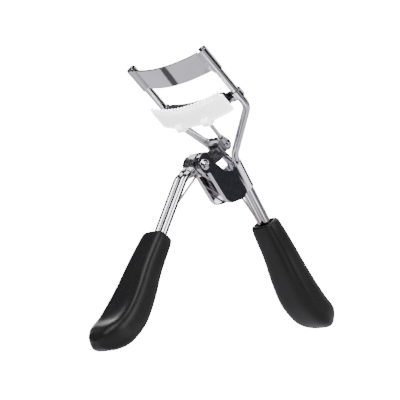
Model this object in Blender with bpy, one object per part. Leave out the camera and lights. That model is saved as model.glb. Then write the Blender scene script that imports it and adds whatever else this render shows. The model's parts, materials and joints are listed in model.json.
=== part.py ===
"""Spring-loaded eyelash curler with a lash comb, standing on the tips of its two grips.

Lengths are in millimetres until an object is placed. The tool's own frame has X across the jaws, Z up along
the guide rods and Y to the back, with its origin midway between the rods at the height of the open lower jaw.
One empty tilts that frame so that both grip tips touch the ground.
"""

import math

import bmesh
import bpy
from mathutils import Matrix, Vector

MM = 0.001

# Stance of the tool frame in the world
TILT = math.radians(45.6)
ORIGIN_Y = 2.24
ORIGIN_Z = 69.814

# Guide rods and frame wires
ROD_X = 15.25
WIRE_R = 1.15
ROD_TOP = 16.2
ROD_BEND_Z = -5.3
FIXED_TOP = (-4.8, -18.8)
FIXED_LEAN = math.radians(16.6)
SHAFT_X = 1.25
WIRE_CLEAR = 0.09

# Jaws: every jaw part follows one arc about an upright axis behind the rods
JAW_SAG = 3.2
JAW_R = (ROD_X**2 + JAW_SAG**2) / (2 * JAW_SAG)
PLATE_LOW = 9.8
PLATE_HIGH = 17.0
PLATE_THICK = 0.7
KNUCKLE_R = 1.54
KNUCKLE_LOW = 9.2
KNUCKLE_TOP = 17.4
PAD_TOP = 2.3
PAD_HALF = 1.7
PAD_END = 11.4
CHANNEL_END = 12.2
GUIDE_R = 1.75
COMB_FRONT = 4.6
COMB_THICK = 0.9
COMB_END = 14.8
COMB_LOW = -2.9
COMB_ROOT = 3.0
COMB_TIP = 4.4
COMB_RISE = 0.6
TOOTH_PITCH = 1.4
TOOTH_WIDTH = 0.7
LUG_X = 5.5
FORK_R = 0.6

# Pivots, as (Y, Z)
MAIN_PIVOT = (-16.6, -10.4)
CRANK_PIVOT = (-4.9, -13.7)

# Pivot bracket and crank
EAR_IN = 2.0
EAR_OUT = 3.4
CHEEK_IN = 1.08
CHEEK_OUT = 1.62

# Moving handle and grips; leans are measured from straight down towards the front
HANDLE_TOP = (-19.9, -9.24)
HANDLE_TOP_LEAN = math.radians(104.8)
HANDLE_BEND = (-24.2, -8.1)
HANDLE_LEAN = math.radians(78.6)
GRIP_MOVING_FROM = (-20.6, -8.0)
GRIP_MOVING_LEAN = math.radians(81.2)
GRIP_FIXED_AT = 22.8
GRIP_MOVING_AT = 23.2
WIRE_IN_GRIP = 20.0
HANDLE_LENGTH = 38.9

# Torsion spring
SPRING_R = 0.325
COIL_R = 1.95

STEEL = (0.74, 0.75, 0.77, 1.0)
DARK_STEEL = (0.55, 0.56, 0.60, 1.0)
BLACK = (0.018, 0.018, 0.02, 1.0)
PAD_BLACK = (0.03, 0.03, 0.035, 1.0)
WHITE = (0.88, 0.88, 0.9, 1.0)


def clear_scene():
    for obj in list(bpy.data.objects):
        bpy.data.objects.remove(obj, do_unlink=True)


def new_collection(name):
    collection = bpy.data.collections.new(name)
    bpy.context.scene.collection.children.link(collection)
    return collection


def new_material(name, color, roughness, metallic):
    material = bpy.data.materials.new(name)
    material.use_nodes = True
    shader = material.node_tree.nodes["Principled BSDF"]
    shader.inputs["Base Color"].default_value = color
    shader.inputs["Roughness"].default_value = roughness
    shader.inputs["Metallic"].default_value = metallic
    return material


clear_scene()
PARTS = new_collection("eyelash_curler")
CUTTERS = new_collection("cutters")


def link_mesh(name, bm, collection):
    """Store a bmesh given in millimetres as an object in metres."""
    bmesh.ops.scale(bm, vec=(MM, MM, MM), verts=bm.verts)
    bmesh.ops.recalc_face_normals(bm, faces=bm.faces)
    mesh = bpy.data.meshes.new(name)
    bm.to_mesh(mesh)
    bm.free()
    obj = bpy.data.objects.new(name, mesh)
    collection.objects.link(obj)
    if collection is CUTTERS:
        obj.hide_render = True
        obj.display_type = "WIRE"
    return obj


def loft(name, rings, collection):
    """A closed body through rings of equally many points, capped at both ends."""
    bm = bmesh.new()
    rows = [[bm.verts.new(point) for point in ring] for ring in rings]
    count = len(rows[0])
    for low, high in zip(rows, rows[1:]):
        for i in range(count):
            j = (i + 1) % count
            bm.faces.new((low[i], low[j], high[j], high[i]))
    bm.faces.new(rows[0])
    bm.faces.new(rows[-1])
    return link_mesh(name, bm, collection)


def slab(name, outline, x_low, x_high, collection):
    """A flat outline in the YZ plane, thick along X."""
    return loft(name, [[(x, y, z) for y, z in outline] for x in (x_low, x_high)], collection)


def rod_x(name, radius, x_low, x_high, center, collection, sides=24):
    """A round bar along X."""
    y, z = center
    outline = [
        (y + radius * math.cos(2 * math.pi * i / sides), z + radius * math.sin(2 * math.pi * i / sides))
        for i in range(sides)
    ]
    return slab(name, outline, x_low, x_high, collection)


def rod_z(name, radius, z_low, z_high, center, collection, sides=24):
    """A round bar along Z."""
    bm = bmesh.new()
    place = Matrix.Translation((center[0], center[1], (z_low + z_high) / 2))
    bmesh.ops.create_cone(
        bm, cap_ends=True, segments=sides, radius1=radius, radius2=radius, depth=z_high - z_low, matrix=place
    )
    return link_mesh(name, bm, collection)


def block(name, low, high, collection):
    bm = bmesh.new()
    size = [b - a for a, b in zip(low, high)]
    middle = [(a + b) / 2 for a, b in zip(low, high)]
    place = Matrix.Translation(middle) @ Matrix.Diagonal((*size, 1.0))
    bmesh.ops.create_cube(bm, size=1.0, matrix=place)
    return link_mesh(name, bm, collection)


def combine(obj, other, operation):
    modifier = obj.modifiers.new(operation.lower(), "BOOLEAN")
    modifier.operation = operation
    modifier.solver = "EXACT"
    modifier.object = other


def join(obj, *others):
    for other in others:
        combine(obj, other, "UNION")


def cut(obj, *others):
    for other in others:
        combine(obj, other, "DIFFERENCE")


def hull_of_circles(circles, steps=10):
    """The convex outline round a few circles, each (y, z, radius)."""
    points = [
        (y + r * math.cos(math.pi * i / steps), z + r * math.sin(math.pi * i / steps))
        for y, z, r in circles
        for i in range(2 * steps)
    ]
    points.sort()

    def chain(ordered):
        line = []
        for p in ordered:
            while len(line) > 1 and turn(line[-2], line[-1], p) <= 1e-9:
                line.pop()
            line.append(p)
        return line[:-1]

    return chain(points) + chain(points[::-1])


def turn(a, b, c):
    return (b[0] - a[0]) * (c[1] - a[1]) - (b[1] - a[1]) * (c[0] - a[0])


def jaw_arc(x, offset=0.0):
    """The point over x of the jaw arc, or of the parallel arc an offset in front of it."""
    return x, JAW_R - JAW_SAG - math.sqrt((JAW_R + offset) ** 2 - x**2)


def spread(half, steps):
    return [half * (2 * i / steps - 1) for i in range(steps + 1)]


def jaw_sweep(name, profile, half, steps, collection):
    """Carry a profile, given as (offset to the front, z), along the jaw arc."""
    rings = []
    for x in spread(half, steps):
        rings.append([(*jaw_arc(x, offset), z) for offset, z in profile])
    return loft(name, rings, collection)


def round_corner(before, corner, after, radius, steps):
    """Points of the arc that rounds the corner of a path."""
    arrive = (corner - before).normalized()
    leave = (after - corner).normalized()
    bend = arrive.angle(leave)
    start = corner - arrive * (radius * math.tan(bend / 2))
    inward = (leave - arrive * arrive.dot(leave)).normalized()
    arc = []
    for i in range(steps + 1):
        angle = bend * i / steps
        arc.append(start + arrive * (radius * math.sin(angle)) + inward * (radius * (1 - math.cos(angle))))
    return arc


def fillet(points, radii, steps=8):
    """Replace each inner corner of a path by an arc."""
    points = [Vector(point) for point in points]
    path = [points[0]]
    for before, corner, after, radius in zip(points, points[1:], points[2:], radii):
        path += round_corner(before, corner, after, radius, steps)
    return path + [points[-1]]


def rounded_outline(corners, steps=7):
    """A closed YZ outline through corners given as (y, z, radius)."""
    points = [Vector(corner[:2]) for corner in corners]
    outline = []
    for i, (_, _, radius) in enumerate(corners):
        after = points[(i + 1) % len(points)]
        outline += round_corner(points[i - 1], points[i], after, radius, steps)
    return [tuple(point) for point in outline]


def wire(name, path, radius, sides=3):
    """A round wire along a path of points, as a curve with a bevel and filled caps."""
    data = bpy.data.curves.new(name, "CURVE")
    data.dimensions = "3D"
    data.bevel_depth = radius * MM
    data.bevel_resolution = sides
    data.use_fill_caps = True
    spline = data.splines.new("POLY")
    spline.points.add(len(path) - 1)
    for point, target in zip(path, spline.points):
        target.co = (*(Vector(point) * MM), 1.0)
    obj = bpy.data.objects.new(name, data)
    PARTS.objects.link(obj)
    return obj


def along(start, lean, distance, aside=0.0):
    """A point on a shaft that leaves start and leans from straight down towards the front."""
    y = start[0] - math.sin(lean) * distance + math.cos(lean) * aside
    z = start[1] - math.cos(lean) * distance - math.sin(lean) * aside
    return y, z


def finish(obj, material, parent, at=(0.0, 0.0, 0.0)):
    """Give the object its material and hang it, with its cutters, on an empty at the tool-frame point at."""
    obj.data.materials.append(material)
    cutters = [modifier.object for modifier in obj.modifiers if modifier.type == "BOOLEAN"]
    for piece in (obj, *cutters):
        piece.parent = parent
        piece.location = -Vector(at) * MM
    if obj.type == "MESH":
        obj.data.shade_smooth()
        obj.data.set_sharp_from_angle(angle=math.radians(35))


def new_empty(name, parent, at):
    empty = bpy.data.objects.new(name, None)
    PARTS.objects.link(empty)
    empty.parent = parent
    empty.location = Vector(at) * MM
    return empty


# --- Frame wires and handle wires -------------------------------------------------------------------------


def frame_wire_path(side):
    shaft_end = along(FIXED_TOP, FIXED_LEAN, GRIP_FIXED_AT + WIRE_IN_GRIP)
    corners = [
        (side * ROD_X, 0.0, ROD_TOP),
        (side * ROD_X, 0.0, ROD_BEND_Z),
        (side * SHAFT_X, *FIXED_TOP),
        (side * SHAFT_X, *shaft_end),
    ]
    return fillet(corners, (4.5, 6.0))


def handle_wire_path(side):
    end = along(HANDLE_BEND, HANDLE_LEAN, HANDLE_LENGTH)
    corners = [(side * SHAFT_X, *point) for point in (HANDLE_TOP, HANDLE_BEND, end)]
    return fillet(corners, (5.0,))


# --- Jaws -------------------------------------------------------------------------------------------------


def make_upper_jaw():
    half = PLATE_THICK / 2
    profile = [(-half, PLATE_LOW), (half, PLATE_LOW), (half, PLATE_HIGH), (-half, PLATE_HIGH)]
    plate = jaw_sweep("upper_jaw_plate", profile, ROD_X, 18, PARTS)
    for side in (-1, 1):
        at = (side * ROD_X, 0.0)
        join(plate, rod_z("knuckle", KNUCKLE_R, KNUCKLE_LOW, KNUCKLE_TOP, at, CUTTERS))
    for side in (-1, 1):
        at = (side * ROD_X, 0.0)
        bore = WIRE_R + WIRE_CLEAR
        cut(plate, rod_z("knuckle_bore", bore, KNUCKLE_LOW - 1, KNUCKLE_TOP + 1, at, CUTTERS))
    return plate


def make_carrier():
    """Channel that holds the pad, with an arm and a guide loop at each end."""
    outer, wall, floor, low, high = 2.35, 0.5, 0.6, -2.0, 0.2
    profile = [
        (-outer, low), (outer, low), (outer, high), (outer - wall, high),
        (outer - wall, low + floor), (wall - outer, low + floor), (wall - outer, high), (-outer, high),
    ]
    carrier = jaw_sweep("jaw_carrier", profile, CHANNEL_END, 14, PARTS)
    for side in (-1, 1):
        x = sorted((side * (CHANNEL_END - 0.5), side * (ROD_X - 0.8)))
        join(carrier, block("carrier_arm", (x[0], -1.6, -1.9), (x[1], 0.4, -0.5), CUTTERS))
        join(carrier, rod_z("guide_loop", GUIDE_R, -1.6, 0.8, (side * ROD_X, 0.0), CUTTERS))
    for side in (-1, 1):
        cut(carrier, rod_z("guide_bore", WIRE_R + 0.15, -4, 4, (side * ROD_X, 0.0), CUTTERS))
    return carrier


def make_pad():
    """Soft pad with a domed top, seated in the channel."""
    seat = -1.25
    shoulder = 0.4
    half = PAD_HALF
    dome = [
        (half * math.cos(math.pi * i / 8), shoulder + (PAD_TOP - shoulder) * math.sin(math.pi * i / 8))
        for i in range(9)
    ]
    profile = [(-half, seat), (half, seat)] + dome
    return jaw_sweep("silicone_pad", profile, PAD_END, 14, PARTS)


def make_comb():
    """Curved comb wall with teeth along its top, a shelf under the carrier and two lugs for the push fork."""
    back = COMB_FRONT - COMB_THICK
    columns = int(2 * COMB_END / TOOTH_PITCH)
    edge = COMB_END - columns * TOOTH_PITCH / 2
    xs = [-COMB_END]
    tops = []
    for i in range(columns):
        start = -COMB_END + edge + i * TOOTH_PITCH
        gap = (TOOTH_PITCH - TOOTH_WIDTH) / 2
        xs += [start + gap, start + gap + TOOTH_WIDTH]
        tops += [COMB_ROOT, COMB_TIP]
    xs.append(COMB_END)
    tops.append(COMB_ROOT)
    bm = bmesh.new()

    def corner(x, z):
        return bm.verts.new((*jaw_arc(x, back), z + COMB_RISE * (x / COMB_END) ** 2))

    low = [corner(x, COMB_LOW) for x in xs]
    root = [corner(x, COMB_ROOT) for x in xs]
    faces = []
    for i, top in enumerate(tops):
        faces.append(bm.faces.new((low[i], low[i + 1], root[i + 1], root[i])))
        if top > COMB_ROOT:
            tip = [corner(xs[i + 1], top), corner(xs[i], top)]
            faces.append(bm.faces.new((root[i], root[i + 1], *tip)))
    grown = bmesh.ops.extrude_face_region(bm, geom=faces)["geom"]
    for vert in (item for item in grown if isinstance(item, bmesh.types.BMVert)):
        vert.co.xy = jaw_arc(vert.co.x, COMB_FRONT)
    comb = link_mesh("lash_comb", bm, PARTS)
    shelf = [(-1.9, COMB_LOW + 0.02), (back + 0.3, COMB_LOW + 0.02), (back + 0.3, -2.15), (-1.9, -2.15)]
    join(comb, jaw_sweep("comb_shelf", shelf, CHANNEL_END - 1.3, 12, CUTTERS))
    for side in (-1, 1):
        x, y = jaw_arc(side * LUG_X, COMB_FRONT)
        boss = hull_of_circles([(y + 0.2, -2.1, 1.35), (y + 0.2, -3.3, 1.35)], 6)
        join(comb, slab("comb_boss", boss, x - 1.4, x + 1.4, CUTTERS))
    for side in (-1, 1):
        bottom, top = fork_wire_path(side)
        for play in (-0.1, 0.55):
            shift = Vector((0.0, play, 0.0))
            cut(comb, tilted_bar("boss_socket", bottom + shift, top + shift, FORK_R + 0.25, 0.5, CUTTERS))
    return comb


def tilted_bar(name, start, end, radius, overrun, collection):
    """A round bar between two points, carried on past the second."""
    axis = (end - start).normalized()
    length = (end - start).length + overrun
    turn_to = axis.to_track_quat("Z", "Y").to_matrix().to_4x4()
    place = Matrix.Translation(start + axis * length / 2) @ turn_to
    bm = bmesh.new()
    bmesh.ops.create_cone(
        bm, cap_ends=True, segments=16, radius1=radius, radius2=radius, depth=length, matrix=place
    )
    return link_mesh(name, bm, collection)


# --- Pivot bracket, crank, fork and fasteners -------------------------------------------------------------


def shaft_sweep(name, section, s_low, s_high, start, lean, collection):
    """Carry a section, given as (x, aside), along a straight shaft."""
    rings = []
    for s in (s_low, s_high):
        rings.append([(x, *along(start, lean, s, aside)) for x, aside in section])
    return loft(name, rings, collection)


def wire_pair_bar(name, extra, s_low, s_high, start, lean):
    """Cutter or sleeve round the two wires side by side, extra wider than they are."""
    radius = WIRE_R + extra
    section = []
    for side, first in ((1, -math.pi / 2), (-1, math.pi / 2)):
        for i in range(9):
            angle = first + math.pi * i / 8
            section.append((side * SHAFT_X + radius * math.cos(angle), radius * math.sin(angle)))
    return shaft_sweep(name, section, s_low, s_high, start, lean, CUTTERS)


def make_pivot_bracket():
    """Folded bracket: a collar round the frame wires and two ears that carry the main pivot."""
    ear = rounded_outline([
        (-19.0, -7.6, 2.7), (-13.0, -7.6, 2.7), (-13.2, -13.4, 2.0), (-12.5, -17.4, 2.0), (-9.4, -20.4, 0.4),
        (-10.9, -27.6, 0.6), (-13.6, -28.0, 2.4), (-19.3, -24.6, 3.6), (-17.1, -13.3, 0.4), (-19.0, -12.5, 2.2),
    ])
    bracket = slab("pivot_bracket", ear, -EAR_OUT, EAR_OUT, PARTS)
    web = [(3.36 * math.cos(math.pi * i / 14), -3.6 + 6.1 * math.sin(math.pi * i / 14)) for i in range(15)]
    section = [(3.36, -5.8)] + web + [(-3.36, -5.8)]
    join(bracket, shaft_sweep("bracket_collar", section, 2.1, 10.6, FIXED_TOP, FIXED_LEAN, CUTTERS))
    hollow = [along(FIXED_TOP, FIXED_LEAN, s, a) for s, a in ((-20, -0.9), (20, -0.9), (20, -25), (-20, -25))]
    cut(bracket, slab("bracket_hollow", hollow, -EAR_IN, EAR_IN, CUTTERS))
    cut(bracket, wire_pair_bar("collar_bore", 0.1, -3, 14, FIXED_TOP, FIXED_LEAN))
    cut(bracket, rod_x("ear_bore", 1.0, -5, 5, MAIN_PIVOT, CUTTERS))
    return bracket


def make_crank():
    """Folded lever of the moving handle: saddle on the wires, cheeks on the pivot, arm to the fork."""
    side = rounded_outline([
        (-20.9, -9.0, 0.8), (-17.6, -7.2, 2.8), (-14.5, -7.3, 2.4), (-9.2, -12.0, 1.4), (-3.2, -12.0, 1.6),
        (-3.2, -15.4, 1.6), (-9.4, -15.4, 1.8), (-13.4, -14.1, 2.0), (-18.9, -13.1, 1.6), (-19.4, -11.3, 0.3),
        (-20.9, -11.1, 0.6),
    ])
    crank = slab("crank_lever", side, -CHEEK_OUT, CHEEK_OUT, PARTS)
    join(crank, wire_pair_bar("crank_saddle", 0.3, 0.3, 1.9, HANDLE_TOP, HANDLE_TOP_LEAN))
    slot = rounded_outline([
        (-19.3, -8.4, 1.0), (-17.4, -7.75, 2.2), (-14.8, -7.9, 2.0), (-9.2, -12.7, 1.4), (0.0, -12.7, 0.5),
        (0.0, -20.0, 0.5), (-19.3, -20.0, 0.5),
    ])
    cut(crank, slab("crank_slot", slot, -CHEEK_IN, CHEEK_IN, CUTTERS))
    cut(crank, wire_pair_bar("crank_pocket", 0.1, -0.1, 9, HANDLE_TOP, HANDLE_TOP_LEAN))
    cut(crank, rod_x("crank_bore", 1.35, -5, 5, MAIN_PIVOT, CUTTERS))
    cut(crank, rod_x("crank_pin_bore", 0.86, -5, 5, CRANK_PIVOT, CUTTERS))
    return crank


def fork_wire_path(side):
    return [Vector((side * 2.72, -5.2, -12.1)), Vector((side * LUG_X, -7.15, -2.3))]


def make_yoke():
    """Folded yoke on the crank pin: two cheeks, a web above the arm and a socket for each fork wire."""
    y, z = CRANK_PIVOT
    lobes = [(y, z, 1.75), (y - 1.3, z + 0.4, 1.3), (y - 1.6, z + 2.3, 0.8), (y + 0.2, z + 2.3, 0.8)]
    cheek = hull_of_circles(lobes)
    yoke = slab("fork_yoke", cheek, -2.75, -1.95, PARTS)
    join(yoke, slab("yoke_cheek", cheek, 1.95, 2.75, CUTTERS))
    join(yoke, block("yoke_web", (-2.6, y - 2.2, z + 2.25), (2.6, y + 0.4, z + 2.95), CUTTERS))
    for side in (-1, 1):
        bottom, top = fork_wire_path(side)
        along_wire = (top - bottom).normalized()
        start = bottom - along_wire * 0.35
        join(yoke, tilted_bar("yoke_socket", start, bottom + along_wire * 1.9, FORK_R + 0.4, 0.0, CUTTERS))
    for side in (-1, 1):
        bottom, top = fork_wire_path(side)
        below = bottom - (top - bottom).normalized() * 0.1
        cut(yoke, tilted_bar("yoke_socket_bore", below, top, FORK_R + 0.08, 0.0, CUTTERS))
    cut(yoke, rod_x("yoke_bore", 0.86, -5, 5, CRANK_PIVOT, CUTTERS))
    return yoke


def domed_pin(name, center, shaft_r, head_r, shaft_x, head_high, far_head):
    """A pin along X turned from one profile, with a domed head at +X and, if asked, one at -X."""
    dome = [(head_r * math.cos(a), head_high * math.sin(a)) for a in (0.0, 0.5, 1.0, 1.35)]
    near = [(x + shaft_x[1], r) for r, x in dome]
    if far_head:
        left = [(shaft_x[0] - x, r) for r, x in dome]
        outline = left[::-1] + [(shaft_x[0], shaft_r), (shaft_x[1], shaft_r)] + near
    else:
        outline = [(shaft_x[0], shaft_r), (shaft_x[1], shaft_r)] + near
    sides = 20
    rings = []
    for x, r in outline:
        ring = []
        for i in range(sides):
            angle = 2 * math.pi * i / sides
            ring.append((x, center[0] + r * math.cos(angle), center[1] + r * math.sin(angle)))
        rings.append(ring)
    return loft(name, rings, PARTS)


def make_pivot_screw():
    """Main pivot screw with a cross recess in its head."""
    screw = domed_pin("pivot_screw", MAIN_PIVOT, 0.88, 1.7, (-4.4, EAR_OUT + 0.08), 0.75, False)
    y, z = MAIN_PIVOT
    deep, out = EAR_OUT + 0.42, EAR_OUT + 2
    cut(
        screw,
        block("recess_a", (deep, y - 0.95, z - 0.18), (out, y + 0.95, z + 0.18), CUTTERS),
        block("recess_b", (deep, y - 0.18, z - 0.95), (out, y + 0.18, z + 0.95), CUTTERS),
    )
    return screw


def ring_x(name, bore, radius, x_low, x_high, center):
    """A flat ring or sleeve round an X axis."""
    ring = rod_x(name, radius, x_low, x_high, center, PARTS)
    cut(ring, rod_x(name + "_bore", bore, x_low - 1, x_high + 1, center, CUTTERS))
    return ring


def make_spring():
    """Torsion spring: a leg under the moving handle, nearly two turns on the sleeve, a leg down the fixed shaft."""
    y, z = MAIN_PIVOT
    start = math.radians(270)
    sweep = math.radians(649.5)
    path = [(-0.63, -33.0, -11.55), (-0.63, -27.0, -11.9), (-0.63, -21.5, -12.25)]
    steps = 44
    for i in range(steps + 1):
        angle = start + sweep * i / steps
        x = -0.63 + 1.26 * i / steps
        path.append((x, y + COIL_R * math.cos(angle), z + COIL_R * math.sin(angle)))
    path += [(0.63, -15.0, -20.8), (0.5, -12.0, -29.6), (0.3, -12.5, -35.0), (0.3, -13.3, -39.4)]
    return wire("torsion_spring", path, SPRING_R, 2)


# --- Grips ------------------------------------------------------------------------------------------------

# distance down the grip, offset outward, half width, half thickness
GRIP_STATIONS = (
    (0.0, 0.0, 4.3, 3.0), (3.0, 0.0, 4.75, 3.4), (11.0, 0.0, 5.4, 3.8), (19.0, -0.5, 6.3, 4.3),
    (26.0, -0.4, 6.9, 4.65), (31.5, 0.8, 6.9, 4.5), (35.5, 2.9, 5.9, 3.6), (37.6, 4.5, 4.2, 2.5),
    (38.5, 5.3, 2.4, 1.4),
)
GRIP_SIDES = 24
GRIP_STEPS = 3


def through(a, b, c, d, t):
    """Catmull-Rom value between b and c."""
    return b + 0.5 * t * (c - a + t * (2 * a - 5 * b + 4 * c - d + t * (3 * (b - c) + d - a)))


def smooth_stations(stations, steps):
    rows = []
    last = len(stations) - 1
    for n in range(last):
        around = [stations[min(max(n + k, 0), last)] for k in (-1, 0, 1, 2)]
        for i in range(steps):
            rows.append([through(*values, i / steps) for values in zip(*around)])
    return rows + [stations[-1]]


def make_grip(name, start, lean, at, outward):
    """Soft grip without its wire pocket: rounded sections that swell towards a tip turned outward."""
    rings = []
    rows = smooth_stations(GRIP_STATIONS, GRIP_STEPS)
    for n, (s, offset, half_width, half_thick) in enumerate(rows):
        before, after = rows[max(n - 1, 0)], rows[min(n + 1, len(rows) - 1)]
        slope = math.atan2(after[1] - before[1], after[0] - before[0])
        ring = []
        for i in range(GRIP_SIDES):
            angle = 2 * math.pi * i / GRIP_SIDES
            x = half_width * rounded(math.cos(angle))
            t = half_thick * rounded(math.sin(angle))
            y, z = along(start, lean, at + s - t * math.sin(slope), outward * (offset + t * math.cos(slope)))
            ring.append((x, y, z))
        rings.append(ring)
    return loft(name, rings, PARTS)


def rounded(value, power=0.72):
    """Squares up a circle into a rounded section."""
    return math.copysign(abs(value) ** power, value)


def build():
    chrome = new_material("chrome", STEEL, 0.12, 1.0)
    dark_chrome = new_material("dark_chrome", DARK_STEEL, 0.18, 1.0)
    spring_steel = new_material("spring_steel", DARK_STEEL, 0.28, 1.0)
    grip_black = new_material("grip_black", BLACK, 0.55, 0.0)
    pad_black = new_material("pad_black", PAD_BLACK, 0.6, 0.0)
    comb_white = new_material("comb_white", WHITE, 0.35, 0.0)

    root = new_empty("curler", None, (0.0, ORIGIN_Y, ORIGIN_Z))
    root.rotation_euler = (TILT, 0.0, 0.0)
    main_at = (0.0, *MAIN_PIVOT)
    crank_at = (0.0, *CRANK_PIVOT)
    jaw_slide = new_empty("jaw_slide", root, (0.0, 0.0, 0.0))
    handle_pivot = new_empty("handle_pivot", root, main_at)
    link_pivot = new_empty("link_pivot", handle_pivot, Vector(crank_at) - Vector(main_at))

    for side, label in ((-1, "left"), (1, "right")):
        finish(wire(f"frame_wire_{label}", frame_wire_path(side), WIRE_R), chrome, root)
        finish(wire(f"handle_wire_{label}", handle_wire_path(side), WIRE_R), chrome, handle_pivot, main_at)
        finish(wire(f"fork_wire_{label}", fork_wire_path(side), FORK_R), chrome, link_pivot, crank_at)
        x = sorted((side * 1.67, side * 1.95))
        finish(ring_x(f"pivot_washer_{label}", 1.33, 2.4, *x, MAIN_PIVOT), dark_chrome, root)

    finish(make_upper_jaw(), chrome, root)
    finish(make_pivot_bracket(), chrome, root)
    finish(make_pivot_screw(), chrome, root)
    finish(ring_x("pivot_nut", 0.97, 1.65, -4.5, -3.45, MAIN_PIVOT), chrome, root)
    finish(ring_x("pivot_sleeve", 0.97, 1.25, -1.94, 1.94, MAIN_PIVOT), dark_chrome, root)
    finish(make_spring(), spring_steel, root)
    grip = make_grip("fixed_grip", FIXED_TOP, FIXED_LEAN, GRIP_FIXED_AT, 1)
    pocket_end = GRIP_FIXED_AT + WIRE_IN_GRIP + 0.8
    cut(grip, wire_pair_bar("fixed_pocket", 0.1, GRIP_FIXED_AT - 1, pocket_end, FIXED_TOP, FIXED_LEAN))
    finish(grip, grip_black, root)

    finish(make_crank(), dark_chrome, handle_pivot, main_at)
    grip = make_grip("moving_grip", GRIP_MOVING_FROM, GRIP_MOVING_LEAN, GRIP_MOVING_AT, -1)
    cut(grip, wire_pair_bar("moving_pocket", 0.1, 17.0, HANDLE_LENGTH + 0.8, HANDLE_BEND, HANDLE_LEAN))
    finish(grip, grip_black, handle_pivot, main_at)
    pin = domed_pin("crank_pin", CRANK_PIVOT, 0.78, 1.15, (-2.83, 2.83), 0.85, True)
    finish(pin, dark_chrome, handle_pivot, main_at)

    finish(make_yoke(), chrome, link_pivot, crank_at)

    finish(make_carrier(), chrome, jaw_slide)
    finish(make_pad(), pad_black, jaw_slide)
    finish(make_comb(), comb_white, jaw_slide)


build()
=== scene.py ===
"""Looks of the lash curler: detailed pieces, materials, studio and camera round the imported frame.

Lengths are in millimetres in the tool's own frame (X across the jaws, Z up the guide rods, Y to the back)
until a piece is placed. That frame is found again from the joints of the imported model.
"""
import json
import math

import bmesh
import bpy
from mathutils import Matrix, Vector


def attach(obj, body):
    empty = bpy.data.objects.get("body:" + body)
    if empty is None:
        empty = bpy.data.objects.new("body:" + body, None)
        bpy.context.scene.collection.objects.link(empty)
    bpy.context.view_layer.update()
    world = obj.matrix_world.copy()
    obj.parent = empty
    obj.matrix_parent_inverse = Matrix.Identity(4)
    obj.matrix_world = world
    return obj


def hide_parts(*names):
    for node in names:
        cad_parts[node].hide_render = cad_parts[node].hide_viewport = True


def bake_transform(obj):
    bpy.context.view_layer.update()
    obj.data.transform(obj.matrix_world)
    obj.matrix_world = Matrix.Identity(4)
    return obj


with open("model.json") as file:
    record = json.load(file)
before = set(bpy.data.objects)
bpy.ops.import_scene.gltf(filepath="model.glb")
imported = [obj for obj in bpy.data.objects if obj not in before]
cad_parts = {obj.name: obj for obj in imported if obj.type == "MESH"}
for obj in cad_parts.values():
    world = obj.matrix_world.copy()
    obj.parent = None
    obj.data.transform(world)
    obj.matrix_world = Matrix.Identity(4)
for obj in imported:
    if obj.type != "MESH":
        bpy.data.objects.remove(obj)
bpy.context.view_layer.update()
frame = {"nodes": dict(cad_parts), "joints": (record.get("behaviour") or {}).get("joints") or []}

MM = 0.001

# Driving dimensions of the tool, the same as the solid model's
MAIN_PIVOT = (-16.6, -10.4)
ROD_X = 15.25
WIRE_R = 1.15
ROD_TOP = 16.2
ROD_BEND_Z = -5.3
FIXED_TOP = (-4.8, -18.8)
FIXED_LEAN = math.radians(16.6)
SHAFT_X = 1.25
JAW_SAG = 3.2
JAW_R = (ROD_X**2 + JAW_SAG**2) / (2 * JAW_SAG)
PLATE_LOW, PLATE_HIGH, PLATE_THICK = 9.8, 17.0, 0.62
KNUCKLE_LOW, KNUCKLE_TOP, KNUCKLE_R = 9.2, 17.4, 1.54
PAD_TOP, PAD_HALF, PAD_SEAT, PAD_END = 2.3, 1.7, -1.2, 11.4
COMB_FRONT, COMB_END, COMB_LOW, COMB_ROOT, COMB_RISE = 4.6, 14.8, -2.9, 3.0, 0.6
TOOTH_PITCH = 1.4
LUG_X = 5.5
LUG_EDGE, LUG_KEEP = COMB_LOW - 0.1, 0.4
FORK_R = 0.6
HANDLE_TOP = (-19.9, -9.24)
HANDLE_BEND = (-24.2, -8.1)
HANDLE_LEAN = math.radians(78.6)
HANDLE_LENGTH = 38.9
GRIP_MOVING_FROM = (-20.6, -8.0)
GRIP_MOVING_LEAN = math.radians(81.2)
GRIP_FIXED_AT = 22.8
GRIP_MOVING_AT = 23.2
WIRE_IN_GRIP = 20.0
SPRING_R = 0.325
COIL_R = 1.95

JOINTS = {joint["name"]: joint for joint in frame["joints"]}
SLIDE = Vector(JOINTS["jaw_slide"]["axis"])
TILT = Matrix.Rotation(math.atan2(-SLIDE.y, SLIDE.z), 4, "X")
PIVOT = Vector(JOINTS["handle_pivot"]["pos_m"])
ORIGIN = PIVOT - TILT @ (Vector((0.0, *MAIN_PIVOT)) * MM)
TOOL = Matrix.Translation(ORIGIN) @ TILT @ Matrix.Scale(MM, 4)


# --- Node material kit ------------------------------------------------------------------------------------


def node(tree, kind, **inputs):
    """A shader node with its inputs set: a value, or the output socket of another node."""
    made = tree.nodes.new(kind)
    for key, value in inputs.items():
        socket = made.inputs[int(key[1:]) if key[1:].isdigit() else key.replace("_", " ")]
        if isinstance(value, bpy.types.NodeSocket):
            tree.links.new(value, socket)
        else:
            socket.default_value = value
    return made


def noise(tree, where, scale, detail=3.0, rough=0.55):
    made = node(tree, "ShaderNodeTexNoise", Vector=where, Scale=scale, Detail=detail, Roughness=rough)
    return made.outputs["Factor"] if "Factor" in made.outputs else made.outputs[0]


def ramp(tree, factor, low, high, dark, light):
    """Colours or greys between two positions of a factor."""
    made = node(tree, "ShaderNodeValToRGB", Fac=factor)
    made.color_ramp.elements[0].position = low
    made.color_ramp.elements[1].position = high
    for element, value in zip(made.color_ramp.elements, (dark, light)):
        element.color = (*value, 1.0) if isinstance(value, tuple) else (value, value, value, 1.0)
    return made.outputs["Color"]


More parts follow.
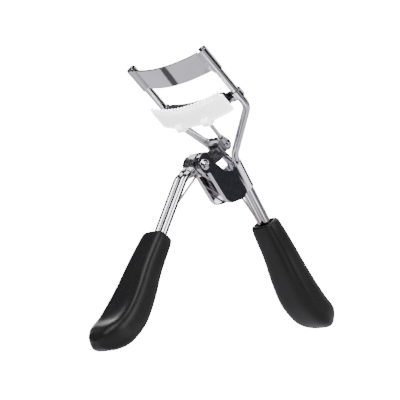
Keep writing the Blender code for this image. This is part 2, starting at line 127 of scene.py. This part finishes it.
def stretched(tree, scale):
    """Object coordinates stretched by a scale, for marks that run one way."""
    where = node(tree, "ShaderNodeTexCoord").outputs["Object"]
    mapping = node(tree, "ShaderNodeMapping", Vector=where)
    mapping.inputs["Scale"].default_value = scale
    return mapping.outputs["Vector"]


def vector_math(tree, operation, a, b):
    """A vector operation on two values, which gives a number for a dot product or a distance."""
    made = node(tree, "ShaderNodeVectorMath", _0=a, _1=b)
    made.operation = operation
    return made.outputs["Value" if operation in ("DOT_PRODUCT", "DISTANCE") else "Vector"]


def number_math(tree, operation, a, b):
    made = node(tree, "ShaderNodeMath", _0=a, _1=b)
    made.operation = operation
    return made.outputs[0]


def map_range(tree, value, low, high, at_low=0.0, at_high=1.0, interpolation="LINEAR"):
    """A value carried from one range to another."""
    made = node(tree, "ShaderNodeMapRange", Value=value)
    made.interpolation_type = interpolation
    for socket, number in (("From Min", low), ("From Max", high), ("To Min", at_low), ("To Max", at_high)):
        made.inputs[socket].default_value = number
    return made.outputs["Result"]


def bump(tree, height, strength, distance):
    made = node(tree, "ShaderNodeBump", Height=height, Strength=strength, Distance=distance)
    return made.outputs["Normal"]


def new_shader(name):
    material = bpy.data.materials.new(name)
    material.use_nodes = True
    tree = material.node_tree
    return material, tree, tree.nodes["Principled BSDF"]


def metal(name, dark, light, smooth, worn, grain):
    """Plated metal: slow colour drift, faint smears in its gloss and fine polishing marks."""
    material, tree, shader = new_shader(name)
    where = stretched(tree, (1.0, 1.0, 1.0))
    drift = noise(tree, where, 90.0)
    smear = noise(tree, stretched(tree, (1.0, 0.35, 1.6)), 520.0, 5.0)
    marks = noise(tree, stretched(tree, (1.0, 8.0, 1.0)), 1400.0, 2.0)
    tree.links.new(ramp(tree, drift, 0.35, 0.7, dark, light), shader.inputs["Base Color"])
    tree.links.new(ramp(tree, smear, 0.35, 0.75, smooth, worn), shader.inputs["Roughness"])
    tree.links.new(bump(tree, marks, grain, 0.00002), shader.inputs["Normal"])
    shader.inputs["Metallic"].default_value = 1.0
    return material


def plastic(name, dark, light, smooth, worn, grain_scale, grain, specular, subsurface=0.0):
    """Moulded plastic or rubber: mottled colour, uneven sheen and a fine moulded grain."""
    material, tree, shader = new_shader(name)
    where = stretched(tree, (1.0, 1.0, 1.0))
    mottle = noise(tree, where, 160.0, 4.0)
    sheen = noise(tree, where, 700.0, 4.0)
    fine = noise(tree, where, grain_scale, 3.0, 0.6)
    tree.links.new(ramp(tree, mottle, 0.3, 0.7, dark, light), shader.inputs["Base Color"])
    tree.links.new(ramp(tree, sheen, 0.3, 0.7, smooth, worn), shader.inputs["Roughness"])
    tree.links.new(bump(tree, fine, grain, 0.00003), shader.inputs["Normal"])
    shader.inputs["Specular IOR Level"].default_value = specular
    if subsurface:
        shader.inputs["Subsurface Weight"].default_value = subsurface
        shader.inputs["Subsurface Radius"].default_value = (1.0, 0.95, 0.9)
        shader.inputs["Subsurface Scale"].default_value = 0.0012
    return material


CHROME = metal("polished_chrome", (0.60, 0.595, 0.625), (0.69, 0.69, 0.715), 0.035, 0.08, 0.03)
# A darker copy of the polished chrome: painted shade on the pivot sleeve and washers, which sit between the
# bracket's ears
CHROME_PAINTED_SHADE = metal("chrome_with_painted_shade", (0.20, 0.195, 0.215), (0.30, 0.295, 0.32), 0.06, 0.14, 0.06)
SATIN_STEEL = metal("satin_plated_steel", (0.42, 0.415, 0.44), (0.56, 0.555, 0.58), 0.15, 0.24, 0.08)
SPRING_STEEL = metal("spring_steel_wire", (0.40, 0.345, 0.315), (0.52, 0.47, 0.44), 0.16, 0.27, 0.12)
GRIP_BLACK = plastic("soft_black_grip", (0.0015, 0.0013, 0.0015), (0.0021, 0.0019, 0.0021), 0.36, 0.41,
                     3800.0, 0.02, 0.22)
PAD_BLACK = plastic("black_silicone", (0.004, 0.004, 0.0045), (0.007, 0.007, 0.0075), 0.4, 0.55,
                    2600.0, 0.1, 0.3)
COMB_WHITE = plastic("milky_comb_plastic", (0.86, 0.86, 0.875), (0.93, 0.93, 0.94), 0.22, 0.36,
                     2200.0, 0.05, 0.35, 0.1)


# --- Mesh kit ---------------------------------------------------------------------------------------------


def place(name, bm, material, body, stands_for, to_world=TOOL):
    """Turn a bmesh in tool millimetres into a piece that rides on a body, in place of CAD nodes."""
    bmesh.ops.transform(bm, matrix=to_world, verts=bm.verts)
    bmesh.ops.recalc_face_normals(bm, faces=bm.faces)
    mesh = bpy.data.meshes.new(name)
    bm.to_mesh(mesh)
    bm.free()
    mesh.shade_smooth()
    mesh.set_sharp_from_angle(angle=math.radians(38))
    piece = bpy.data.objects.new(name, mesh)
    bpy.context.scene.collection.objects.link(piece)
    piece.data.materials.append(material)
    if body:
        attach(piece, body)
    if stands_for:
        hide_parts(*stands_for)
    return piece


def add_loft(bm, rings):
    """A closed shell through rings of equally many points, capped at both ends."""
    rows = [[bm.verts.new(point) for point in ring] for ring in rings]
    count = len(rows[0])
    for low, high in zip(rows, rows[1:]):
        for i in range(count):
            j = (i + 1) % count
            bm.faces.new((low[i], low[j], high[j], high[i]))
    bm.faces.new(rows[0])
    bm.faces.new(rows[-1])


def bevel(piece, width, segments=3, angle=38):
    modifier = piece.modifiers.new("edge", "BEVEL")
    modifier.width = width * MM
    modifier.segments = segments
    modifier.limit_method = "ANGLE"
    modifier.angle_limit = math.radians(angle)
    modifier.harden_normals = True
    return piece


def shorten_lugs(bm):
    """Pull the comb's two bosses up towards its lower edge, so that only their rounded ends show."""
    to_tool = TOOL.inverted()
    for vert in bm.verts:
        point = to_tool @ vert.co
        if point.z < LUG_EDGE:
            point.z = LUG_EDGE + (point.z - LUG_EDGE) * LUG_KEEP
            vert.co = TOOL @ point


def refined(cad_node, material, body, width, segments=2):
    """A copy of a CAD solid with clean faces and softly broken edges."""
    bm = bmesh.new()
    bm.from_mesh(frame["nodes"][cad_node].data)
    bmesh.ops.remove_doubles(bm, verts=bm.verts, dist=0.0000015)
    bmesh.ops.dissolve_limit(bm, angle_limit=math.radians(1.5), verts=bm.verts, edges=bm.edges)
    if cad_node == "lash_comb":
        shorten_lugs(bm)
    name = cad_node + "_shell"
    return bevel(place(name, bm, material, body, [cad_node], Matrix.Identity(4)), width, segments)


def jaw_arc(x, offset=0.0):
    """The point over x of the jaw arc, or of the parallel arc an offset in front of it."""
    return x, JAW_R - JAW_SAG - math.sqrt((JAW_R + offset) ** 2 - x**2)


def jaw_sweep(bm, profile, half, steps, rise=0.0, ends=0):
    """Carry a profile of (offset to the front, z) along the jaw arc, rounded off over the end rings."""
    center = [sum(values) / len(profile) for values in zip(*profile)]
    for_ends = [math.sqrt(max(0.0, 1 - (1 - i / ends) ** 2)) for i in range(1, ends + 1)] if ends else []
    rings = []
    for i in range(steps + 1):
        x = half * (2 * i / steps - 1)
        near = min(i, steps - i)
        keep = 0.35 + 0.65 * for_ends[near] if near < len(for_ends) else 1.0
        ring = []
        for offset, z in profile:
            offset = center[0] + (offset - center[0]) * keep
            z = center[1] + (z - center[1]) * keep
            ring.append((*jaw_arc(x, offset), z + rise * (x / half) ** 2))
        rings.append(ring)
    add_loft(bm, rings)


def round_corner(before, corner, after, radius, steps):
    """Points of the arc that rounds the corner of a path."""
    arrive = (corner - before).normalized()
    leave = (after - corner).normalized()
    bend = arrive.angle(leave)
    start = corner - arrive * (radius * math.tan(bend / 2))
    inward = (leave - arrive * arrive.dot(leave)).normalized()
    arc = []
    for i in range(steps + 1):
        angle = bend * i / steps
        arc.append(start + arrive * (radius * math.sin(angle)) + inward * (radius * (1 - math.cos(angle))))
    return arc


def fillet(points, radii, steps=16):
    """Replace each inner corner of a path by an arc."""
    points = [Vector(point) for point in points]
    path = [points[0]]
    for before, corner, after, radius in zip(points, points[1:], points[2:], radii):
        path += round_corner(before, corner, after, radius, steps)
    return path + [points[-1]]


def add_tube(bm, path, radius, sides=32, chamfer=0.18):
    """A round wire along a path, with a small chamfer at both ends."""
    path = [Vector(point) for point in path]
    first, last = (path[1] - path[0]).normalized(), (path[-1] - path[-2]).normalized()
    stations = [(path[0], radius - chamfer), (path[0] + first * chamfer, radius)]
    stations += [(point, radius) for point in path[1:-1]]
    stations += [(path[-1] - last * chamfer, radius), (path[-1], radius - chamfer)]
    across = first.orthogonal().normalized()
    rings = []
    for i, (point, r) in enumerate(stations):
        before, after = stations[max(i - 1, 0)][0], stations[min(i + 1, len(stations) - 1)][0]
        ahead = (after - before).normalized()
        across = (across - ahead * across.dot(ahead)).normalized()
        other = ahead.cross(across)
        turn = [2 * math.pi * k / sides for k in range(sides)]
        rings.append([point + across * (r * math.cos(a)) + other * (r * math.sin(a)) for a in turn])
    add_loft(bm, rings)


def tube(name, path, radius, material, body, stands_for, sides=32):
    bm = bmesh.new()
    add_tube(bm, path, radius, sides)
    return place(name, bm, material, body, stands_for)


def along(start, lean, distance, aside=0.0):
    """A point on a shaft that leaves start and leans from straight down towards the front."""
    y = start[0] - math.sin(lean) * distance + math.cos(lean) * aside
    z = start[1] - math.cos(lean) * distance - math.sin(lean) * aside
    return y, z


# --- Wires ------------------------------------------------------------------------------------------------


def frame_wire_path(side):
    corners = [
        (side * ROD_X, 0.0, ROD_TOP),
        (side * ROD_X, 0.0, ROD_BEND_Z),
        (side * SHAFT_X, *FIXED_TOP),
        (side * SHAFT_X, *along(FIXED_TOP, FIXED_LEAN, GRIP_FIXED_AT + WIRE_IN_GRIP)),
    ]
    return fillet(corners, (4.5, 6.0))


def handle_wire_path(side):
    end = along(HANDLE_BEND, HANDLE_LEAN, HANDLE_LENGTH)
    corners = [(side * SHAFT_X, *point) for point in (HANDLE_TOP, HANDLE_BEND, end)]
    return fillet(corners, (5.0,))


def fork_wire_path(side):
    return [Vector((side * 2.72, -5.2, -12.1)), Vector((side * LUG_X, -7.15, -2.3))]


def make_wires():
    for side, label in ((-1, "left"), (1, "right")):
        for kind, path, radius, body in (
            ("frame_wire", frame_wire_path(side), WIRE_R, "frame"),
            ("handle_wire", handle_wire_path(side), WIRE_R, "moving_handle"),
            ("fork_wire", fork_wire_path(side), FORK_R, "push_fork"),
        ):
            cad_node = f"{kind}_{label}"
            tube(cad_node + "_polished", path, radius, CHROME, body, [cad_node])


# --- Jaws -------------------------------------------------------------------------------------------------


def plate_half():
    """Half of the strip that becomes the plate, from the middle to the free edge of the roll round a rod.

    Each entry is (x, y, normal x, normal y, thickness, share of the roll's height).
    """
    roll = (WIRE_R + 0.12 + KNUCKLE_R) / 2
    thin = KNUCKLE_R - WIRE_R - 0.12
    reach = ROD_X - 1.9
    rows = []
    for i in range(25):
        x, y = jaw_arc(reach * i / 24)
        rows.append((x, y, x / JAW_R, -math.sqrt(1 - (x / JAW_R) ** 2), PLATE_THICK, 0.0))
    joined = math.radians(232)
    for i in range(30):
        angle = joined + math.radians(300) * i / 29
        nx, ny = math.cos(angle), math.sin(angle)
        rows.append((ROD_X + roll * nx, roll * ny, nx, ny, thin, min(1.0, i / 3)))
    return rows


def make_upper_jaw():
    """Sheet plate on the jaw arc whose ends are rolled round the rods, with an open seam at the back."""
    half = plate_half()
    mirrored = [(-x, y, -nx, ny, thick, roll) for x, y, nx, ny, thick, roll in half[:0:-1]]
    rings = []
    for x, y, nx, ny, thick, roll in mirrored + half:
        low = PLATE_LOW + (KNUCKLE_LOW - PLATE_LOW) * roll
        high = PLATE_HIGH + (KNUCKLE_TOP - PLATE_HIGH) * roll
        out = (x + nx * thick / 2, y + ny * thick / 2)
        inner = (x - nx * thick / 2, y - ny * thick / 2)
        rings.append([(*out, low), (*inner, low), (*inner, high), (*out, high)])
    bm = bmesh.new()
    add_loft(bm, rings)
    bevel(place("upper_jaw_sheet", bm, CHROME, "frame", ["upper_jaw_plate"]), 0.09, 3, 50)


def make_pad():
    """Soft pad: domed top on a flat seat, and rounded ends."""
    shoulder = 0.4
    dome = [
        (PAD_HALF * math.cos(math.pi * i / 16), shoulder + (PAD_TOP - shoulder) * math.sin(math.pi * i / 16))
        for i in range(17)
    ]
    profile = [(-PAD_HALF, PAD_SEAT), (PAD_HALF, PAD_SEAT), (PAD_HALF, shoulder - 0.5)] + dome
    profile.append((-PAD_HALF, shoulder - 0.5))
    bm = bmesh.new()
    jaw_sweep(bm, profile, PAD_END, 60, ends=5)
    place("lash_pad", bm, PAD_BLACK, "lower_jaw", ["silicone_pad"])


# height on the comb wall, and how far the rib stands out of it there
RIB_PROFILE = ((-0.8, 0.0), (0.2, 0.1), (1.6, 0.24), (COMB_ROOT + 0.7, 0.24), (COMB_ROOT + 1.1, 0.06))
RIB_HALF = 0.3
BEAD_R = 0.34


def make_comb_details():
    """Ribs under the teeth and the bead along the comb's lower edge, moulded on the comb wall."""
    bm = bmesh.new()
    columns = int(2 * COMB_END / TOOTH_PITCH)
    for i in range(2, columns - 2):
        x = -COMB_END + (2 * COMB_END - columns * TOOTH_PITCH) / 2 + (i + 0.5) * TOOTH_PITCH
        rise = COMB_RISE * (x / COMB_END) ** 2
        front = jaw_arc(x, COMB_FRONT)[1]
        rings = []
        for z, grow in RIB_PROFILE:
            turn = [math.pi * k / 8 for k in range(9)]
            arc = [(x + RIB_HALF * math.cos(a), front - grow * math.sin(a), z + rise) for a in turn]
            root = [(x + half, front + 0.25, z + rise) for half in (-RIB_HALF, RIB_HALF)]
            rings.append(arc + root)
        add_loft(bm, rings)
    place("comb_ribs", bm, COMB_WHITE, "lower_jaw", None)
    bm = bmesh.new()
    bead = []
    for i in range(16):
        angle = math.pi * i / 8
        bead.append((COMB_FRONT - 0.1 + BEAD_R * math.cos(angle), COMB_LOW + 0.36 + BEAD_R * math.sin(angle)))
    jaw_sweep(bm, bead, COMB_END - 0.1, 48, COMB_RISE, ends=4)
    place("comb_bead", bm, COMB_WHITE, "lower_jaw", None)


# --- Spring -----------------------------------------------------------------------------------------------


def make_spring():
    """Torsion spring wire: a coil round the main pivot with a short leg and a long leg."""
    y, z = MAIN_PIVOT
    start, sweep, turns = math.radians(270), math.radians(649.5), 96
    path = [(-0.63, -33.0, -11.55), (-0.63, -30.0, -11.72), (-0.63, -27.0, -11.9), (-0.63, -24.2, -12.08),
            (-0.63, -21.5, -12.25)]
    for i in range(turns + 1):
        angle = start + sweep * i / turns
        x = -0.63 + 1.26 * i / turns
        path.append((x, y + COIL_R * math.cos(angle), z + COIL_R * math.sin(angle)))
    path += [(0.63, -15.0, -20.8), (0.5, -12.0, -29.6), (0.3, -12.5, -35.0), (0.3, -13.3, -39.4)]
    bm = bmesh.new()
    add_tube(bm, path, SPRING_R, 16, 0.06)
    piece = place("torsion_spring_wire", bm, SPRING_STEEL, None, ["torsion_spring"])
    start, end = TOOL @ Vector((0, -18.2, -12.3)), TOOL @ Vector((0, -33.0, -11.55))
    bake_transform(piece)


# --- Grips ------------------------------------------------------------------------------------------------

# distance down the grip, offset outward, half width, half thickness, depth of the thumb hollow;
# the toe rounds the widths off from TOE_FROM on
GRIP_STATIONS = (
    (0.0, 0.0, 4.3, 3.0, 0.0), (3.0, 0.0, 4.7, 3.35, 0.05), (11.0, 0.0, 5.3, 3.75, 0.25),
    (19.0, -0.5, 6.2, 4.25, 0.7), (26.0, -0.4, 6.8, 4.6, 1.15), (31.5, 0.8, 6.8, 4.45, 0.8),
    (35.5, 2.9, 6.8, 4.45, 0.2), (37.6, 4.5, 6.8, 4.45, 0.0), (38.5, 5.3, 6.8, 4.45, 0.0),
)
TOE_FROM, TOE_LENGTH, TOE_POWER = 31.5, 7.02, 0.4
# distance down the grip and share of the width, from inside the mouth over its rolled rim
MOUTH = ((1.2, 0.62), (0.35, 0.66), (0.05, 0.74), (0.0, 0.84), (0.08, 0.93), (0.35, 0.985))


def through(a, b, c, d, t):
    """Catmull-Rom value between b and c."""
    return b + 0.5 * t * (c - a + t * (2 * a - 5 * b + 4 * c - d + t * (3 * (b - c) + d - a)))


def smooth_stations(stations, steps):
    rows = []
    last = len(stations) - 1
    for n in range(last):
        around = [stations[min(max(n + k, 0), last)] for k in (-1, 0, 1, 2)]
        for i in range(steps):
            rows.append([through(*values, i / steps) for values in zip(*around)])
    return rows + [list(stations[-1])]


def grip_section(half_width, half_thick, hollow, sides=72):
    """Rounded box section with crisp long edges and a hollow in its outward face."""
    points = []
    for i in range(sides):
        angle = 2 * math.pi * (i + 0.5) / sides
        c, s = math.cos(angle), math.sin(angle)
        u = math.copysign(abs(c) ** 0.5, c)
        v = math.copysign(abs(s) ** 0.62, s)
        dip = hollow * max(0.0, v) * (1 - min(1.0, abs(u) / 0.86) ** 2.2)
        points.append((half_width * 0.985 * u, half_thick * 0.985 * v - dip))
    return points


def make_grip(name, start, lean, at, outward, body):
    """Soft grip with a rolled mouth round the wires and a rounded toe turned outward."""
    rows = smooth_stations(GRIP_STATIONS, 8)
    mouth = [[s, rows[0][1], rows[0][2] * share, rows[0][3] * share, 0.0] for s, share in MOUTH]
    rows = mouth + rows[2:]
    for row in rows:
        keep = (1 - (max(0.0, row[0] - TOE_FROM) / TOE_LENGTH) ** 2) ** TOE_POWER
        row[2] *= keep
        row[3] *= keep
    rings = []
    for n, (s, offset, half_width, half_thick, hollow) in enumerate(rows):
        before, after = rows[max(n - 1, len(MOUTH))], rows[min(max(n + 1, len(MOUTH) + 1), len(rows) - 1)]
        slope = math.atan2(after[1] - before[1], max(after[0] - before[0], 0.1)) if n > len(MOUTH) else 0.0
        ring = []
        for x, t in grip_section(half_width, half_thick, hollow):
            y, z = along(start, lean, at + s - t * math.sin(slope), outward * (offset + t * math.cos(slope)))
            ring.append((x, y, z))
        rings.append(ring)
    bm = bmesh.new()
    add_loft(bm, rings)
    grip = place(name + "_moulding", bm, GRIP_BLACK, body, [name])
    # The moving grip is kept out of the mirrors, where it darkens the plate
    grip.visible_glossy = body == "frame"


# --- Pieces -----------------------------------------------------------------------------------------------


def make_pieces():
    make_wires()
    make_upper_jaw()
    make_pad()
    make_comb_details()
    make_spring()
    make_grip("fixed_grip", FIXED_TOP, FIXED_LEAN, GRIP_FIXED_AT, 1, "frame")
    make_grip("moving_grip", GRIP_MOVING_FROM, GRIP_MOVING_LEAN, GRIP_MOVING_AT, -1, "moving_handle")
    for cad_node, material, body, width in (
        ("pivot_bracket", CHROME, "frame", 0.3),
        ("pivot_screw", CHROME, "frame", 0.06),
        ("pivot_nut", CHROME, "frame", 0.12),
        ("pivot_sleeve", CHROME_PAINTED_SHADE, "frame", 0.05),
        ("pivot_washer_left", CHROME_PAINTED_SHADE, "frame", 0.05),
        ("pivot_washer_right", CHROME_PAINTED_SHADE, "frame", 0.05),
        ("crank_lever", SATIN_STEEL, "moving_handle", 0.12),
        ("crank_pin", CHROME, "moving_handle", 0.06),
        ("fork_yoke", SATIN_STEEL, "push_fork", 0.1),
        ("jaw_carrier", CHROME, "lower_jaw", 0.08),
        ("lash_comb", COMB_WHITE, "lower_jaw", 0.14),
    ):
        refined(cad_node, material, body, width)


# --- Studio -----------------------------------------------------------------------------------------------

CAMERA_AT = Vector((0.36222, -0.34696, 0.00073))
CAMERA_AHEAD = Vector((-0.722, 0.6873, 0.0796))
CAMERA_ROLL = math.radians(-5.93)
CAMERA_LENS = 155.3
SENSOR = 36.0


def make_camera():
    data = bpy.data.cameras.new("camera")
    data.lens = CAMERA_LENS
    data.sensor_width = SENSOR
    data.clip_start, data.clip_end = 0.01, 20.0
    camera = bpy.data.objects.new("camera", data)
    bpy.context.scene.collection.objects.link(camera)
    turn = CAMERA_AHEAD.to_track_quat("-Z", "Y").to_matrix().to_4x4()
    camera.matrix_world = Matrix.Translation(CAMERA_AT) @ turn @ Matrix.Rotation(CAMERA_ROLL, 4, "Z")
    bpy.context.scene.camera = camera


def toward(side_degrees, up_degrees):
    """A direction seen from the object: degrees to the right of the camera and above the floor."""
    base = math.atan2(-CAMERA_AHEAD.y, -CAMERA_AHEAD.x)
    angle = base + math.radians(side_degrees)
    up = math.radians(up_degrees)
    return Vector((math.cos(angle) * math.cos(up), math.sin(angle) * math.cos(up), math.sin(up)))


# side, up, half size in degrees, soft rim in degrees, strength, tint
SOFT_BOXES = (
    (180, 4, 28, 6, 6.0, (1.0, 1.0, 1.0)),
    (-22, 57, 19, 6, 7.0, (1.0, 0.99, 0.98)),
    (57, 20, 13, 5, 8.0, (0.97, 0.98, 1.0)),
    (150, 62, 15, 8, 3.0, (0.97, 0.98, 1.0)),
    (113, 12, 12, 3, 2.2, (0.97, 0.97, 1.0)),
)
WALL_GLOW = 0.035
KEY_WATTS, KEY_SIZE, KEY_DISTANCE = 42.0, 0.5, 0.9
KEY_TOWARD = (-30, 50)
WHITE = (1.0, 1.0, 1.0, 1.0)
BACKDROP = 18.0
FILL = 4.2
FLOOR_R = 8.0
FLOOR_BOUNCE = 3.5
FLOOR_TINT = (0.97, 0.94, 1.0, 1.0)
CONTACT_REACH, CONTACT_POWER = 0.03, 2.4
# The floor's glow in the mirrors: bright round a middle, dark from a distance on
POOL_AT = Vector((-0.1, 0.0, 0.0))
POOL_BRIGHT, POOL_DARK = 0.16, 0.42
POOL_GLOW, POOL_REST = 1.05, 0.05
# Cards on the floor that change its glow; the first shows up at this x of the plate
PLATE_CARD_X, PLATE_CARD_R, PLATE_CARD_SHARE = 0.5, 0.011, 0.12
# side, distance from the middle, radius, share of the floor's glow left
FLOOR_CARDS = (
    (12, 0.046, 0.02, 3.0),
    (50, 0.108, 0.034, 0.08),
    (-60, 0.012, 0.014, 0.25),
)
CARD_EDGE = 0.2


def mirror_pattern(tree):
    """What polished metal reflects: a dark studio with soft boxes."""
    ahead = node(tree, "ShaderNodeTexCoord").outputs["Generated"]
    glows = []
    for side, up, half, rim, strength, tint in SOFT_BOXES:
        inside = vector_math(tree, "DOT_PRODUCT", ahead, toward(side, up))
        edges = [math.cos(math.radians(half + sign * rim)) for sign in (1, -1)]
        share = map_range(tree, inside, *edges, interpolation="SMOOTHSTEP")
        glows.append(vector_math(tree, "MULTIPLY", share, [strength * channel for channel in tint]))
    glows.append((WALL_GLOW, WALL_GLOW, WALL_GLOW * 1.25))
    total = glows[0]
    for glow in glows[1:]:
        total = vector_math(tree, "ADD", total, glow)
    return node(tree, "ShaderNodeBackground", Color=total).outputs["Background"]


def by_ray(tree, seen, mirrored, other):
    """One shader for the camera, one for glossy rays and one for all the rest."""
    path = node(tree, "ShaderNodeLightPath").outputs
    soft = node(tree, "ShaderNodeMixShader", _0=path["Is Glossy Ray"], _1=other, _2=mirrored)
    return node(tree, "ShaderNodeMixShader", _0=path["Is Camera Ray"], _1=soft.outputs[0], _2=seen).outputs[0]


def make_key():
    """A large soft lamp above and to the left of the camera, which shapes the matt pieces."""
    data = bpy.data.lights.new("key", "AREA")
    data.shape = "DISK"
    data.size = KEY_SIZE
    data.energy = KEY_WATTS
    key = bpy.data.objects.new("key", data)
    bpy.context.scene.collection.objects.link(key)
    key.location = toward(*KEY_TOWARD) * KEY_DISTANCE
    key.rotation_euler = toward(*KEY_TOWARD).to_track_quat("Z", "Y").to_euler()
    key.visible_camera = False
    key.visible_glossy = False


def make_world():
    """White to the camera, an even fill for matt surfaces, and the dark studio for mirrors."""
    world = bpy.data.worlds.new("studio")
    bpy.context.scene.world = world
    world.use_nodes = True
    tree = world.node_tree
    tree.nodes.clear()
    backdrop = node(tree, "ShaderNodeBackground", Color=WHITE, Strength=BACKDROP).outputs[0]
    fill = node(tree, "ShaderNodeBackground", Color=WHITE, Strength=FILL).outputs[0]
    surface = by_ray(tree, backdrop, mirror_pattern(tree), fill)
    node(tree, "ShaderNodeOutputWorld", Surface=surface)


def plate_card_at():
    """Where on the floor a card lies that shows up near the middle of the plate from the main view."""
    x, y = jaw_arc(PLATE_CARD_X)
    point = TOOL @ Vector((x, y, (PLATE_LOW + PLATE_HIGH) / 2))
    normal = TILT.to_3x3() @ Vector((x / JAW_R, -math.sqrt(1 - (x / JAW_R) ** 2), 0.0))
    ray = (point - CAMERA_AT).normalized().reflect(normal)
    return point - ray * (point.z / ray.z)


def floor_cards():
    """Cards on the floor that only the mirrors see: where, radius, and the share of the glow they leave."""
    cards = [(plate_card_at(), PLATE_CARD_R, PLATE_CARD_SHARE)]
    for side, distance, radius, share in FLOOR_CARDS:
        cards.append((toward(side, 0) * distance, radius, share))
    return cards


def floor_glow(tree):
    """The floor's glow in the mirrors: a bright pool that fades outward, with the cards on it."""
    where = node(tree, "ShaderNodeTexCoord").outputs["Object"]
    away = vector_math(tree, "DISTANCE", where, POOL_AT)
    glow = map_range(tree, away, POOL_BRIGHT, POOL_DARK, POOL_GLOW, POOL_REST, "SMOOTHSTEP")
    for center, radius, share in floor_cards():
        away = vector_math(tree, "DISTANCE", where, center)
        left = map_range(tree, away, radius * (1 - CARD_EDGE), radius * (1 + CARD_EDGE), share)
        glow = number_math(tree, "MULTIPLY", glow, left)
    return glow


def make_floor():
    """Pale floor: a soft contact shade over the white backdrop, and a gentle bounce from below."""
    bm = bmesh.new()
    bmesh.ops.create_circle(bm, cap_ends=True, radius=FLOOR_R, segments=64)
    mesh = bpy.data.meshes.new("floor")
    bm.to_mesh(mesh)
    bm.free()
    floor = bpy.data.objects.new("floor", mesh)
    bpy.context.scene.collection.objects.link(floor)
    material = bpy.data.materials.new("pale_floor")
    material.use_nodes = True
    tree = material.node_tree
    tree.nodes.clear()
    contact = node(tree, "ShaderNodeAmbientOcclusion", Distance=CONTACT_REACH).outputs["AO"]
    shade = number_math(tree, "POWER", contact, CONTACT_POWER)
    seen = node(tree, "ShaderNodeBsdfTransparent", Color=shade).outputs[0]
    mirrored = node(tree, "ShaderNodeEmission", Color=FLOOR_TINT, Strength=floor_glow(tree)).outputs[0]
    bounce = node(tree, "ShaderNodeEmission", Color=WHITE, Strength=FLOOR_BOUNCE).outputs[0]
    node(tree, "ShaderNodeOutputMaterial", Surface=by_ray(tree, seen, mirrored, bounce))
    mesh.materials.append(material)


make_pieces()
make_camera()
make_key()
make_world()
make_floor()
